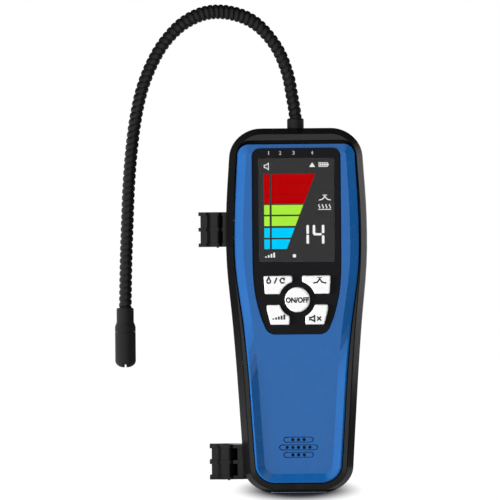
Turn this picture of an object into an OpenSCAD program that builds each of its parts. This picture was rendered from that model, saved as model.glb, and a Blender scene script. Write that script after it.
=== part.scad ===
// Handheld refrigerant leak detector with a gooseneck probe.
// Millimetres, +Z up, -Y towards the user, origin at the middle of the foot.

/* [Housing] */
// Height of the housing from its foot to its crown
housing_h = 200.5; // [196.5:1:205.5]
// Greatest width of the housing, beside the display
housing_w = 77.7; // [75.7:1:79.7]
// Depth from the flat of the front cover to the back
housing_d = 33; // [33:0.5:37]
// Wall of the rear case
wall = 2.4; // [2.2:0.1:2.6]

/* [Front cover] */
// Width of the sloping border strip
strip_w = 5; // [4.4:0.1:5.4]
// How far the border falls away round the display
strip_fall = 1.8; // [1.2:0.1:2.2]
// How far the border rises round the grip
strip_rise = 1.6; // [1:0.1:1.8]
// Gap between the front cover and the rim of the case
cover_gap = 0.5; // [0.3:0.1:0.7]

/* [Display] */
// Width of the clear window
screen_w = 41.6; // [40:0.2:43]
// Height of the clear window
screen_h = 57; // [56:0.2:58.4]
// Height of the window's centre above the foot
screen_z = 155.4; // [155:0.1:156.4]

/* [Keys] */
// Height of the power key's centre above the foot
keys_z = 106.2; // [106:0.1:107]
// Diameter of the power key
power_d = 13.6; // [12:0.1:14.2]
// Radius of the ring that the four outer keys leave round the power key
ring_r = 10.1; // [9.4:0.1:10.6]
// How far the keys stand out of the face panel
key_height = 1.7; // [1.4:0.1:2]
// Travel of a key
key_travel = 1; // [0.6:0.1:1]

/* [Gooseneck] */
// Diameter over the ribs of the gooseneck
neck_d = 7.1; // [6.5:0.1:7.3]
// How much wider the gooseneck is over the top of its bend, where the ribs open
neck_swell = 1.1; // [0:0.1:1.2]
// Depth of the groove between the ribs
neck_groove = 0.8; // [0.4:0.05:0.9]
// Diameter of the collar on the crown
collar_d = 9.2; // [9:0.1:10.5]
// Height of the collar above the crown
collar_h = 5.5; // [4:0.5:8]

/* [Probe] */
// Diameter of the sensor cap
cap_d = 11.4; // [11.2:0.1:11.5]
// Length of the sensor cap
cap_l = 19.4; // [18:0.1:20.6]
// Width of the slots in the end of the cap
cap_slot = 1.1; // [0.8:0.1:1.6]

/* [Clips] */
// Height of a clip
clip_h = 19.2; // [17:0.1:19.6]
// Wall of a clip
clip_wall = 1.5; // [1.3:0.1:1.8]
// Half of the angle that the mouth of a clip leaves open
clip_mouth = 50; // [45:1:55]

/* [Power] */
// Diameter of a cell
cell_d = 14.2; // [13.8:0.1:14.4]
// Length of a cell with its button
cell_l = 50.4; // [49.8:0.1:50.6]

/* [Hidden] */
$fn = 64;
eps = 0.01;

case_black = [0.11, 0.11, 0.12];
cover_blue = [0.21, 0.41, 0.66];
panel_black = [0.05, 0.05, 0.06];
key_white = [0.93, 0.93, 0.93];
steel = [0.72, 0.73, 0.75];

// Depths through the housing, from the front to the back
face_y = -16;
panel_y = face_y + 0.3;
panel_t = 1;
pocket_y = panel_y + panel_t;
plate_y = pocket_y + 1.5;
skirt_y = -9;
shoulder_y = -8;
board_y = -7.8;
board_t = 1.6;
split_y = -2;
back_y = face_y + housing_d;
inner_y = back_y - wall;
neck_y = -1;

// Half widths of the case and of the front cover at chosen heights, over a tall and wide housing's scale
kz = housing_h / 200.5;
kw = housing_w / 77.7;

// Rubber pad that the housing stands on, as its width, depth and thickness, and how far it stands out
foot = [30, 18, 1.2];
foot_out = 0.4;
case_sides = [for (s = [[-2, 29.4], [20, 30.6], [42, 31.95], [68, 33.6], [95, 35.7], [121, 38.2], [137, 38.85],
    [158, 38.5], [183, 36.9], [200.5, 35.7]]) [s[0] * kz, s[1] * kw]];
cover_sides = [for (s = [[4, 22.9], [16, 23.7], [42, 25.4], [68, 27.1], [90, 29.4], [104, 31.3], [117, 33.1],
    [128, 34.1], [142, 34.3], [160, 33.8], [183, 32.5], [192, 31.9]]) [s[0] * kz, s[1] * kw]];
panel_sides = [[87, 16.2], [90.5, 17.4], [97, 20], [103.7, 21.8], [110, 23.1], [117, 23.8], [126, 24.2], [190, 24.2]];

// Heights where the border strip changes from a rise to a fall
twist_low = 60;
twist_high = 98;

// Where the case halves and the board are screwed together, as X and Z
case_bosses = [[27, 176], [-27, 176], [15, 11], [-15, 11]];
board_posts = [[25.2, 92], [-25.2, 92], [26.2, 160], [-26.2, 160]];

// Vent rows in the front cover, as height, length and holes
vent_rows = [[29.5, 16.3, 3], [25.3, 21, 5], [21.2, 16.3, 3]];

// Clips: bore, and distance from the barrel's axis to the pad that each is screwed to
clip_r = cap_d / 2 + 0.05;
upper_reach = 7.9;
lower_reach = 10;
clip_y = 6;
upper_clip_z = 145.1;
lower_clip_z = 16.8;
upper_pad = -37.7;
lower_pad = -30.5;
clip_fixings = [[3.8, 4.9], [-3.8, -4.9]];
clip_screw_seat = 2.6;
clip_plate = 2.9;

// Cell well and its door
door_w = 44.8;
door_z = [20.6, 92.4];
door_gap = 0.25;
door_screw_z = 88;
well_z = [26, 83];
cell_pitch = 14.5;
cell_y = inner_y - 0.5 - cell_d / 2;
well_floor_y = cell_y - cell_d / 2 - 0.2;
cell_seat = 0.7;

// Probe heights
tip_x = -94.85;
sleeve_top = 102.3;
seam_z = 88.9;
cap_end = seam_z - cap_l;

// Route of the gooseneck in the plane of the housing, as X and Z
neck_route = [[0, 192], [0, 206], [-1.7, 218.1], [-4.5, 232.1], [-10.6, 246.2], [-21.3, 258.4], [-33.9, 264.2],
    [-47.9, 264.8], [-60.9, 259.3], [-71.5, 249], [-79, 236.6], [-84.6, 222.3], [-88.3, 205.8], [-90.7, 187.8],
    [-92.3, 168.8], [-93.2, 149.8], [-94, 130.9], [-94.5, 112.9], [tip_x, 96]];
neck_sides = 10;
neck_marks = [0, 0.5, 0.76];

// Shared curves

function smooth(a, b, v) = let (t = min(1, max(0, (v - a) / (b - a)))) t * t * (3 - 2 * t);

function slope(list, i) = let (lo = max(i - 1, 0), hi = min(i + 1, len(list) - 1))
    (list[hi][1] - list[lo][1]) / (list[hi][0] - list[lo][0]);

// Smooth value at z through a list of [z, value]
function along(list, z) = let (
    i = max([for (k = [0:len(list) - 2]) k == 0 || z >= list[k][0] ? k : 0]),
    h = list[i + 1][0] - list[i][0],
    t = (z - list[i][0]) / h)
    list[i][1] * (2 * t * t * t - 3 * t * t + 1) + slope(list, i) * h * (t * t * t - 2 * t * t + t)
    + list[i + 1][1] * (3 * t * t - 2 * t * t * t) + slope(list, i + 1) * h * (t * t * t - t * t);

// Right half of an outline from its bottom to its top, with elliptical corners
function half_outline(sides, z0, z1, low, high, corner, rows) = concat(
    [for (i = [0:corner]) let (a = 90 * i / corner, z = z0 + low[1] * (1 - cos(a)))
        [along(sides, z) - low[0] * (1 - sin(a)), z]],
    [for (i = [1:rows - 1]) let (z = z0 + low[1] + (z1 - high[1] - z0 - low[1]) * i / rows) [along(sides, z), z]],
    [for (i = [0:corner]) let (a = 90 * i / corner, z = z1 - high[1] * (1 - sin(a)))
        [along(sides, z) - high[0] * (1 - cos(a)), z]]);

function both_halves(half) = concat(half, [for (i = [len(half) - 1:-1:0]) [-half[i][0], half[i][1]]]);

// Outward direction of a closed outline at its point i
function outward(pts, i) = let (
    n = len(pts),
    d = pts[(i + 1) % n] - pts[(i + n - 1) % n])
    [d[1], -d[0]] / norm(d);

// Outline moved inward by "inset", with its own share at the top and the bottom
function inset_outline(pts, inset, top = 1, bottom = 1) = [for (i = [0:len(pts) - 1])
    let (n = outward(pts, i), k = n[1] > 0 ? 1 + n[1] * (top - 1) : 1 - n[1] * (bottom - 1))
    [pts[i][0] - n[0] * inset, pts[i][1] - n[1] * inset * k]];

// The same as a ring in space, at the depth that "depth" gives for each height
function ring(pts, inset, depth, top = 1, bottom = 1) = [for (p = inset_outline(pts, inset, top, bottom))
    [p[0], depth(p[1]), p[1]]];

module skin(rings) {
    n = len(rings[0]);
    m = len(rings);
    polyhedron(
        points = [for (r = rings) each r],
        faces = concat(
            [[for (i = [n - 1:-1:0]) i]],
            [for (k = [0:m - 2], i = [0:n - 1]) [k * n + i, k * n + (i + 1) % n, (k + 1) * n + (i + 1) % n]],
            [for (k = [0:m - 2], i = [0:n - 1]) [k * n + i, (k + 1) * n + (i + 1) % n, (k + 1) * n + i]],
            [[for (i = [0:n - 1]) (m - 1) * n + i]]),
        convexity = 8);
}

// Extrudes a shape drawn in X and Z from depth y0 to depth y1
module slab(y0, y1) {
    translate([0, y1, 0]) rotate([90, 0, 0]) linear_extrude(height = y1 - y0) children();
}

// Round bar along Y at [x, z]
module peg(at, r, y0, y1) {
    translate([at[0], y1, at[1]]) rotate([90, 0, 0]) cylinder(r = r, h = y1 - y0);
}

module rounded_rect(w, z0, z1, r) {
    for (sx = [-1, 1], z = [z0 + r, z1 - r]) translate([sx * (w / 2 - r), z]) circle(r);
    translate([-w / 2 + r, z0]) square([w - 2 * r, z1 - z0]);
    translate([-w / 2, z0 + r]) square([w, z1 - z0 - 2 * r]);
}

// Machine screw along +X from the underside of its head
module screw(head_r, head_h, shank_r, shank_l) {
    root = 0.4 * head_h;
    translate([-root, 0, 0]) rotate([0, 90, 0]) cylinder(r = shank_r, h = shank_l + root);
    translate([-head_h, 0, 0]) rotate([0, 90, 0]) difference() {
        cylinder(r = head_r, h = head_h);
        for (a = [0, 90]) rotate([0, 0, a]) translate([-0.3, -head_r * 0.6, -1]) cube([0.6, head_r * 1.2, 1 + head_h / 2]);
    }
}

// Housing

case_outline = both_halves(half_outline(case_sides, -0.3, housing_h, [17.5, 14], [16.5, 15.5], 12, 20));
cover_outline = both_halves(half_outline(cover_sides, 5.8, housing_h - 8.8, [10.5, 9.5], [5.9, 5.9], 9, 22));
panel_outline = both_halves(half_outline(panel_sides, 87.3, 189.3, [4.2, 3.6], [4.5, 4.5], 8, 16));

function rim_depth(z) = face_y + 1.4 - 2 * (1 - smooth(twist_low, twist_high, z));
function crease(z) = 4.4 - 0.8 * smooth(twist_low, twist_high, z);
function edge_depth(z) = let (t = smooth(twist_low, twist_high, z)) face_y + strip_fall * t - strip_rise * (1 - t);
function flat_at(y) = function (z) y;

// Rounding of the back edge, as its reach inward and its depth
back_round = [6.4, 12];

module case_form() skin([
    ring(case_outline, 9.5, flat_at(-11), 1.7, 1.2),
    ring(case_outline, 6.8, function (z) rim_depth(z), 1.6, 1.2),
    ring(case_outline, 4, function (z) rim_depth(z) + 0.25, 0.88, 0.65),
    ring(case_outline, 3.4, function (z) rim_depth(z) + 0.8, 0.94, 0.65),
    ring(case_outline, 0.4, flat_at(-7.6), 1.4, 0.65),
    ring(case_outline, 0, flat_at(-6)),
    for (a = [0:18:90]) ring(case_outline, back_round[0] * (1 - cos(a)),
        flat_at(back_y - back_round[1] * (1 - sin(a))), 1.2, 0.6)]);

module case_hollow() skin([
    ring(case_outline, wall, flat_at(shoulder_y), 1.25, 1.8),
    ring(case_outline, wall, flat_at(back_y - 9), 1.25, 1.8),
    ring(case_outline, wall + 1.4, flat_at(back_y - 5), 1.25, 1.6),
    ring(case_outline, wall + 3.6, flat_at(inner_y), 1.25, 1.4)]);

module clip_pad(pad, z, thick) {
    translate([pad, clip_y - 6, z - clip_h / 2]) cube([thick, 12, clip_h]);
}

module clip_seat(pad, z) {
    translate([pad - 20, clip_y - 7.3, z - clip_h / 2 - 0.4]) cube([20, 14.6, clip_h + 0.8]);
    for (f = clip_fixings) translate([pad, clip_y + f[0], z + f[1]]) rotate([0, 90, 0]) {
        translate([0, 0, -1]) cylinder(r = 1.25, h = 6);
        translate([0, 0, clip_screw_seat]) cylinder(r = 2.4, h = 6);
    }
}

module cell_well() {
    slab(well_floor_y - 1.5, inner_y - 1.4) rounded_rect(46.6, well_z[0] - 1.5, well_z[1] + 1.5, 1.5);
    slab(inner_y - 1.7, inner_y + 0.3) rounded_rect(door_w + 3.4, door_z[0] - 1.7, door_z[1] + 1.7, 5.5);
    peg([0, door_screw_z], 3.2, inner_y - 9, inner_y - 0.3);
}

module rear_case() {
    color(case_black) difference() {
        union() {
            difference() {
                case_form();
                case_hollow();
                slab(-24, shoulder_y + 0.1) polygon(inset_outline(cover_outline, -cover_gap));
                slab(-24, -10.6) polygon(inset_outline(cover_outline, -cover_gap, 4));
            }
            cell_well();
            for (b = case_bosses) peg(b, 3.8, split_y, inner_y + 0.3);
            clip_pad(upper_pad, upper_clip_z, 2.8);
            clip_pad(lower_pad, lower_clip_z, 4.2);
        }
        translate([-60, -40, -10]) cube([120, 80, 10 + foot_out]);
        translate([-foot[0] / 2 - 0.1, -foot[1] / 2 - 0.1, -1]) cube([foot[0] + 0.2, foot[1] + 0.2, foot[2] + 1.05]);
        translate([0, neck_y, housing_h - 12]) cylinder(d = collar_d + 0.1, h = 20);
        clip_seat(upper_pad, upper_clip_z);
        clip_seat(lower_pad, lower_clip_z);
        slab(well_floor_y, back_y + 5) translate([-21.95, well_z[0]]) square([43.9, well_z[1] - well_z[0]]);
        slab(inner_y, back_y + 5) rounded_rect(door_w + 2 * door_gap, door_z[0] - door_gap, door_z[1] + door_gap, 4.2);
        peg([0, door_screw_z], 1.15, inner_y - 8, inner_y + 1);
        for (b = case_bosses) {
            peg(b, 1.5, split_y - 1, back_y - 4.9);
            peg(b, 2.9, back_y - 5, back_y + 1);
        }
    }
}

module cover_form() skin([
    ring(cover_outline, strip_w, flat_at(face_y)),
    ring(cover_outline, 0.9, function (z) edge_depth(z)),
    ring(cover_outline, 0.25, function (z) edge_depth(z) + 0.3),
    ring(cover_outline, 0, function (z) edge_depth(z) + 0.9),
    ring(cover_outline, 0, flat_at(skirt_y))]);

module vent_slot(row, grow) {
    r = 1.5 + grow;
    for (sx = [-1, 1]) translate([sx * (row[1] / 2 - 1.5), row[0]]) circle(r);
    translate([-row[1] / 2 + 1.5, row[0] - r]) square([row[1] - 3, 2 * r]);
}

module front_cover() {
    color(cover_blue) difference() {
        union() {
            difference() {
                cover_form();
                slab(plate_y, skirt_y + 1) polygon(inset_outline(cover_outline, 2));
            }
            for (b = case_bosses) peg(b, 2.8, plate_y - 0.3, split_y);
            for (b = board_posts) peg(b, 2, plate_y - 0.3, board_y);
        }
        slab(-24, pocket_y) polygon(inset_outline(panel_outline, -0.2));
        slab(-24, plate_y + 1) translate([-22.1, screen_z - 30.1]) square([44.2, 60.2]);
        slab(-24, plate_y + 1) key_set(0.35);
        for (row = vent_rows) {
            slab(-24, face_y + 0.8) difference() {
                vent_slot(row, 0.15);
                vent_slot(row, -0.4);
            }
            for (i = [0:row[2] - 1]) peg([(i - (row[2] - 1) / 2) * 3.1, row[0]], 0.9, -24, plate_y + 1);
        }
        for (b = case_bosses) peg(b, 1.15, split_y - 9, split_y + 1);
        for (b = board_posts) peg(b, 0.95, board_y - 5, board_y + 1);
    }
}

// Face panel and display

module face_panel() {
    color(panel_black) difference() {
        slab(panel_y, pocket_y) polygon(panel_outline);
        slab(panel_y - 1, pocket_y + 1) translate([-screen_w / 2 - 0.05, screen_z - screen_h / 2 - 0.05])
            square([screen_w + 0.1, screen_h + 0.1]);
        slab(panel_y - 1, pocket_y + 1) key_set(0.3);
    }
}

module display_window() {
    color([0.3, 0.3, 0.32]) slab(panel_y, pocket_y) translate([-screen_w / 2, screen_z - screen_h / 2])
        square([screen_w, screen_h]);
}

module display_module() {
    color([0.2, 0.2, 0.22]) {
        slab(pocket_y + 0.1, plate_y + 0.2) translate([-21.8, screen_z - 29.8]) square([43.6, 59.6]);
        slab(plate_y + 0.1, plate_y + 3.4) translate([-23.2, screen_z - 33]) square([46.4, 66]);
    }
}

// Keys, drawn on the right of the power key and mirrored to its left

function arc(r, a0, a1, steps) = [for (i = [0:steps]) let (a = a0 + (a1 - a0) * i / steps) [r * cos(a), r * sin(a)]];

// Corner i of a closed outline, rounded to radius r where it turns sharply
function fillet(points, i, r) = let (
    n = len(points),
    p = points[i],
    before = points[(i + n - 1) % n] - p,
    after = points[(i + 1) % n] - p,
    u = before / norm(before),
    v = after / norm(after),
    open = acos(u * v),
    c = p + (u + v) / norm(u + v) * r / sin(open / 2),
    s = p + u * r / tan(open / 2) - c,
    e = p + v * r / tan(open / 2) - c)
    open > 150 ? [p] : [for (t = [0:0.2:1]) let (w = s * (1 - t) + e * t) c + w * r / norm(w)];

function rounded(points, r) = [for (i = [0:len(points) - 1]) each fillet(points, i, r)];

upper_key = concat([[17.7, 3.2], [18.3, 13.1], [2.8, 13.1]],
    arc(ring_r, acos(2.8 / ring_r), asin(3.2 / ring_r), 6));
lower_key = concat([[4.4, -13.6], [14.6, -13.6], [16.7, -5.4], [16.7, -2.8]],
    arc(ring_r, -asin(2.8 / ring_r), -acos(4.4 / ring_r), 6));
key_corner = 0.9;

function key_outline(points, side) = let (r = rounded(points, key_corner), n = len(r))
    [for (i = [0:n - 1]) let (p = r[side > 0 ? i : n - 1 - i]) [side * p[0], keys_z + p[1]]];

module key_shape(points, side, grow) {
    polygon(inset_outline(key_outline(points, side), -grow));
}

module power_shape(grow) {
    translate([0, keys_z]) circle(power_d / 2 + grow);
}

module key_set(grow) {
    power_shape(grow);
    for (side = [-1, 1]) {
        key_shape(upper_key, side, grow);
        key_shape(lower_key, side, grow);
    }
}

// Stem of a key: it clears the mat, carries the lip behind it and ends over the switch
key_top = panel_y - key_height;
mat_y = plate_y + 0.05;
lip_y = mat_y + 1;
plunger_y = board_y - 1.55 - key_travel;

// Stems of the outer keys and the switches under them, on the right of the power key
upper_stem = [12.1, 8.4];
lower_stem = [12.7, -7.8];

// Rounding of a key's top edge
key_round = 0.7;

module outer_key(points, stem, side) {
    outline = key_outline(points, side);
    color(key_white) {
        skin(concat(
            [for (a = [90:-30:0]) ring(outline, key_round * (1 - cos(a)), flat_at(key_top + key_round * (1 - sin(a))))],
            [ring(outline, 0, flat_at(lip_y + eps))]));
        slab(lip_y, lip_y + 0.8) key_shape(points, side, 0.9);
        peg([side * stem[0], keys_z + stem[1]], 1.8, lip_y + 0.7, plunger_y);
    }
}

module key_power() {
    color(key_white) {
        translate([0, 0, keys_z]) rotate([90, 0, 0]) rotate_extrude() polygon(concat(
            [[0, -lip_y - 0.8], [power_d / 2 + 0.9, -lip_y - 0.8], [power_d / 2 + 0.9, -lip_y], [power_d / 2, -lip_y]],
            [for (a = [0:15:90]) [power_d / 2 - 1 + cos(a), -key_top - 1 + sin(a)]],
            [[0, -key_top]]));
        peg([0, keys_z], 1.8, lip_y + 0.7, plunger_y);
    }
}

module key_gas() { outer_key(upper_key, upper_stem, -1); }

module key_peak() { outer_key(upper_key, upper_stem, 1); }

module key_sens() { outer_key(lower_key, lower_stem, -1); }

module key_mute() { outer_key(lower_key, lower_stem, 1); }

module keypad_mat() {
    color([0.16, 0.16, 0.17]) difference() {
        slab(mat_y, mat_y + 0.7) rounded_rect(43, 90.4, 121.6, 3);
        slab(mat_y - 1, mat_y + 2) key_set(0.45);
    }
}

// Electronics

module main_board() {
    color([0.08, 0.3, 0.16]) difference() {
        union() {
            slab(board_y, board_y + board_t) rounded_rect(57, 86, 170, 2);
            slab(board_y + board_t / 2, board_y + board_t + 1.2) translate([-6, 138]) square(12);
            slab(board_y + board_t / 2, board_y + board_t + 3) translate([-18, 160]) square([12, 5]);
            slab(board_y + board_t / 2, board_y + board_t + 2) translate([8, 116]) square([10, 7]);
        }
        for (b = board_posts) peg(b, 1.1, board_y - 1, board_y + board_t + 1);
    }
}

module tact_switch(at) {
    slab(board_y - 0.8, board_y) translate([at[0] - 3, at[1] - 3]) square(6);
    peg(at, 1.6, board_y - 1.4, board_y - 0.7);
}

module key_switches() {
    color([0.75, 0.75, 0.72]) {
        tact_switch([0, keys_z]);
        for (side = [-1, 1], s = [upper_stem, lower_stem]) tact_switch([side * s[0], keys_z + s[1]]);
    }
}

module board_screws() {
    color(steel) for (b = board_posts) translate([b[0], board_y + board_t, b[1]]) rotate([0, 0, -90])
        screw(1.9, 1.4, 0.9, 5.6);
}

module buzzer() {
    color([0.14, 0.14, 0.15]) difference() {
        peg([0, 25.3], 9, plate_y + 0.1, plate_y + 7);
        peg([0, 25.3], 1.5, plate_y - 1, plate_y + 2);
    }
}

// Gooseneck and its collar

module neck_collar() {
    color(case_black) translate([0, neck_y, 0]) rotate_extrude() polygon([
        [3.9, housing_h - 9.5], [collar_d / 2, housing_h - 9.5], [collar_d / 2, housing_h + collar_h - 0.6],
        [collar_d / 2 - 0.6, housing_h + collar_h], [3.9, housing_h + collar_h]]);
}

module neck_nut() {
    color(steel) translate([0, neck_y, housing_h - 7.4]) difference() {
        cylinder(r = 7.4, h = 4, $fn = 6);
        translate([0, 0, -1]) cylinder(d = collar_d + 0.1, h = 6);
    }
}

function spline(p0, p1, p2, p3, t) = 0.5 * (2 * p1 + (p2 - p0) * t + (2 * p0 - 5 * p1 + 4 * p2 - p3) * t * t
    + (3 * p1 - p0 - 3 * p2 + p3) * t * t * t);

// Point of the route at u, counted in its own points
function neck_at(u) = let (last = len(neck_route) - 1, i = max(0, min(floor(u), last - 1)))
    spline(neck_route[max(i - 1, 0)], neck_route[i], neck_route[i + 1], neck_route[min(i + 2, last)], u - i);

// The ribs lie closer where the arm lies over
function rib_pitch(d) = 2.7 + 0.78 * abs(d[1]) / norm(d);

neck_steps = 240;
neck_span = len(neck_route) - 1;
function neck_step(k) = neck_at((k + 1) * neck_span / neck_steps) - neck_at(k * neck_span / neck_steps);

// Turns of the rib against u
neck_turns = [for (k = 0, turn = 0; k <= neck_steps; turn = turn + norm(neck_step(k)) / rib_pitch(neck_step(k)), k = k + 1)
    [turn, k * neck_span / neck_steps]];
neck_rings = 3 * floor(neck_turns[neck_steps - 1][0] - 1.2);

function rib_point(i, j) = let (
    u = lookup(floor(i / 3) + neck_marks[i % 3] + j / neck_sides, neck_turns),
    p = neck_at(u),
    d = neck_at(min(u + 0.02, neck_span)) - neck_at(max(u - 0.02, 0)),
    n = [d[1], -d[0]] / norm(d),
    r = (neck_d + neck_swell * smooth(248, 267, p[1])) / 2 - (i % 3 == 2 ? neck_groove : 0),
    a = 360 * j / neck_sides)
    [p[0] + r * cos(a) * n[0], neck_y + r * sin(a), p[1] + r * cos(a) * n[1]];

// One closed skin whose rings run on into each other as the thread of the rib does
module gooseneck() {
    n = neck_sides;
    m = neck_rings;
    last = (m + 1) * n;
    foot = concat([for (j = [0:n - 1]) j], [for (i = [3:-1:1]) i * n]);
    tail = concat([for (j = [0:n - 1]) m * n + j], [for (i = [m - 1:-1:m - 3]) i * n + n - 1]);
    quads = concat(
        [for (i = [0:m - 1], j = [0:n - 2]) [i * n + j, i * n + j + 1, (i + 1) * n + j + 1, (i + 1) * n + j]],
        [for (i = [0:m - 4]) [i * n + n - 1, (i + 3) * n, (i + 4) * n, (i + 1) * n + n - 1]]);
    color([0.06, 0.06, 0.065]) polyhedron(
        points = concat(
            [for (i = [0:m], j = [0:n - 1]) rib_point(i, j)],
            [[neck_route[0][0], neck_y, neck_route[0][1] + 1.7], [tip_x, neck_y, rib_point(m, n - 1)[2]]]),
        faces = concat(
            [for (q = quads) [q[0], q[1], q[2]]],
            [for (q = quads) [q[0], q[2], q[3]]],
            [for (k = [0:len(foot) - 1]) [foot[(k + 1) % len(foot)], foot[k], last]],
            [for (k = [0:len(tail) - 1]) [tail[k], tail[(k + 1) % len(tail)], last + 1]]),
        convexity = 12);
}

// Probe

module probe_sleeve() {
    r = cap_d / 2;
    color([0.1, 0.1, 0.11]) translate([tip_x, neck_y, 0]) rotate_extrude() polygon([
        [3.75, seam_z - 5], [4.4, seam_z - 5], [4.4, seam_z + 0.15], [r, seam_z + 0.15], [r, seam_z + 3.1],
        [4.75, seam_z + 5.7], [4.75, sleeve_top - 0.6], [4.3, sleeve_top], [3.75, sleeve_top]]);
}

module sensor_element() {
    color([0.8, 0.78, 0.7]) translate([tip_x, neck_y, 0]) rotate_extrude() polygon([
        [0, seam_z - 13.5], [3, seam_z - 13.5], [3.4, seam_z - 13.1], [3.4, seam_z - 4.5], [3.7, seam_z - 4.5],
        [3.7, seam_z + 2], [0, seam_z + 2]]);
}

module sensor_cap() {
    r = cap_d / 2;
    end_round = [4.7, 3.7];
    color([0.1, 0.1, 0.11]) translate([tip_x, neck_y, 0]) difference() {
        rotate_extrude() polygon(concat(
            [[0, cap_end]],
            [for (a = [-90:15:0]) [r - end_round[0] * (1 - cos(a)), cap_end + end_round[1] * (1 + sin(a))]],
            [[r, seam_z - 0.1], [r - 0.1, seam_z], [4.7, seam_z], [4.7, cap_end + 3.6], [3.6, cap_end + 1.4],
            [0, cap_end + 1.4]]));
        for (a = [0, 90]) rotate([0, 0, a]) translate([-r - 1, -cap_slot / 2, cap_end - 1]) cube([2 * r + 2, cap_slot, 2.7]);
    }
}

// Clips

// Section of a clip, with a neck that is "half" deep to each side and the plate that is screwed to the case
module clip_section(wall_t, reach, half) {
    outer = clip_r + wall_t;
    far = 20;
    difference() {
        union() {
            difference() {
                circle(outer);
                polygon([[0, 0], [-far * cos(clip_mouth), far * sin(clip_mouth)], [-far, 0],
                    [-far * cos(clip_mouth), -far * sin(clip_mouth)]]);
            }
            for (s = [-1, 1]) scale([1, s]) polygon([
                [-clip_r * cos(clip_mouth) + 0.4, clip_r * sin(clip_mouth) - 0.1],
                [-outer - 0.05, clip_r * sin(clip_mouth) + 1.1],
                [-outer - 0.05, clip_r * sin(clip_mouth) + 1.1 + 0.8 * wall_t],
                [-clip_r * cos(clip_mouth) + 1, outer * sin(clip_mouth) + 0.6]]);
            translate([3.4, -half]) square([reach - 3.4, 2 * half]);
            translate([reach - clip_plate, -6]) square([clip_plate, 12]);
        }
        circle(clip_r);
        translate([reach, -far]) square([far, 2 * far]);
    }
}

module clip(pad, z, reach) {
    rib = 2;
    gate_h = 0.5;
    color(case_black) translate([pad - reach, clip_y, z - clip_h / 2]) difference() {
        union() {
            linear_extrude(height = clip_h) clip_section(clip_wall, reach, 2.2);
            for (k = [0:2]) translate([0, 0, k * (clip_h - rib) / 2]) linear_extrude(height = rib)
                clip_section(clip_wall + 1.1, reach, 7);
            translate([2.2, -clip_r - 0.9, -gate_h]) cylinder(r = 0.6, h = gate_h + 1);
        }
        for (f = clip_fixings) translate([reach - 2.4, f[0], clip_h / 2 + f[1]]) rotate([0, 90, 0])
            cylinder(r = 1.05, h = 5);
    }
}

module upper_clip() { clip(upper_pad, upper_clip_z, upper_reach); }

module lower_clip() { clip(lower_pad, lower_clip_z, lower_reach); }

module clip_screws() {
    color(steel) for (c = [[upper_pad, upper_clip_z], [lower_pad, lower_clip_z]], f = clip_fixings)
        translate([c[0] + clip_screw_seat, clip_y + f[0], c[1] + f[1]]) rotate([0, 0, 180]) screw(2, 1.5, 1, 4.8);
}

// Power

module battery_door() {
    color(case_black) difference() {
        slab(inner_y + 0.2, back_y) rounded_rect(door_w, door_z[0], door_z[1], 4);
        peg([0, door_screw_z], 1.4, inner_y - 1, back_y + 1);
        peg([0, door_screw_z], 2.6, back_y - 1.2, back_y + 1);
        for (k = [0:3]) slab(back_y - 0.5, back_y + 1) translate([-9 + k, 70 + 3 * k]) square([18 - 2 * k, 1.4]);
    }
}

module door_screw() {
    color(steel) translate([0, back_y - 1.2, door_screw_z]) rotate([0, 0, -90]) screw(2.3, 1, 1.05, 6.5);
}

// A cell with its button up, or down where "up" is -1
module cell(x, up) {
    r = cell_d / 2;
    color([0.28, 0.3, 0.33]) translate([x, cell_y, up > 0 ? well_z[1] - cell_seat - cell_l / 2 : well_z[0] + cell_seat + cell_l / 2])
        scale([1, 1, up]) rotate_extrude() polygon([
        [0, -cell_l / 2], [r - 0.6, -cell_l / 2], [r, -cell_l / 2 + 0.6], [r, cell_l / 2 - 1.9],
        [r - 0.6, cell_l / 2 - 1.3], [2.7, cell_l / 2 - 1.3], [2.7, cell_l / 2], [0, cell_l / 2]]);
}

module battery_cell_1() { cell(-cell_pitch, 1); }

module battery_cell_2() { cell(0, -1); }

module battery_cell_3() { cell(cell_pitch, 1); }

// Plate of the well's end at x, with its lowest face on the wall and up as 1 or -1
module contact_plate(x, up) {
    edge = up > 0 ? well_z[1] - 0.65 : well_z[0] + 0.05;
    translate([x - 5.5, cell_y - 5, edge]) cube([11, 10, 0.6]);
}

module battery_plates() {
    color(steel) {
        contact_plate(-cell_pitch, 1);
        contact_plate(0, -1);
        contact_plate(cell_pitch, 1);
    }
}

// Conical coil drawn as its outer form, from its plate towards the cell
module contact_spring(x, up) {
    gap = well_z[1] - well_z[0] - cell_seat - cell_l - 0.1;
    translate([x, cell_y, up > 0 ? well_z[0] + 0.05 : well_z[1] - 0.05]) scale([1, 1, up]) rotate_extrude() polygon(concat(
        [[0, 0], [5.4, 0]],
        [for (k = [0:3]) each [[5 - 0.7 * k, gap * (k + 0.35) / 4], [3.9 - 0.6 * k, gap * (k + 0.8) / 4]]],
        [[2.4, gap], [0, gap]]));
}

module battery_springs() {
    color(steel) {
        contact_spring(-cell_pitch, 1);
        contact_spring(0, -1);
        contact_spring(cell_pitch, 1);
    }
}

module case_screws() {
    color(steel) for (b = case_bosses) translate([b[0], back_y - 5, b[1]]) rotate([0, 0, -90])
        screw(2.6, 2, 1.1, back_y - 5 - split_y + 7);
}

module foot_pad() {
    color([0.14, 0.14, 0.14]) translate([-foot[0] / 2, -foot[1] / 2, 0]) cube(foot);
}

rear_case();
front_cover();
face_panel();
display_window();
display_module();
key_power();
key_gas();
key_peak();
key_sens();
key_mute();
keypad_mat();
main_board();
key_switches();
board_screws();
buzzer();
neck_collar();
neck_nut();
gooseneck();
probe_sleeve();
sensor_element();
sensor_cap();
upper_clip();
lower_clip();
clip_screws();
battery_door();
door_screw();
battery_cell_1();
battery_cell_2();
battery_cell_3();
battery_springs();
battery_plates();
case_screws();
foot_pad();
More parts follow.
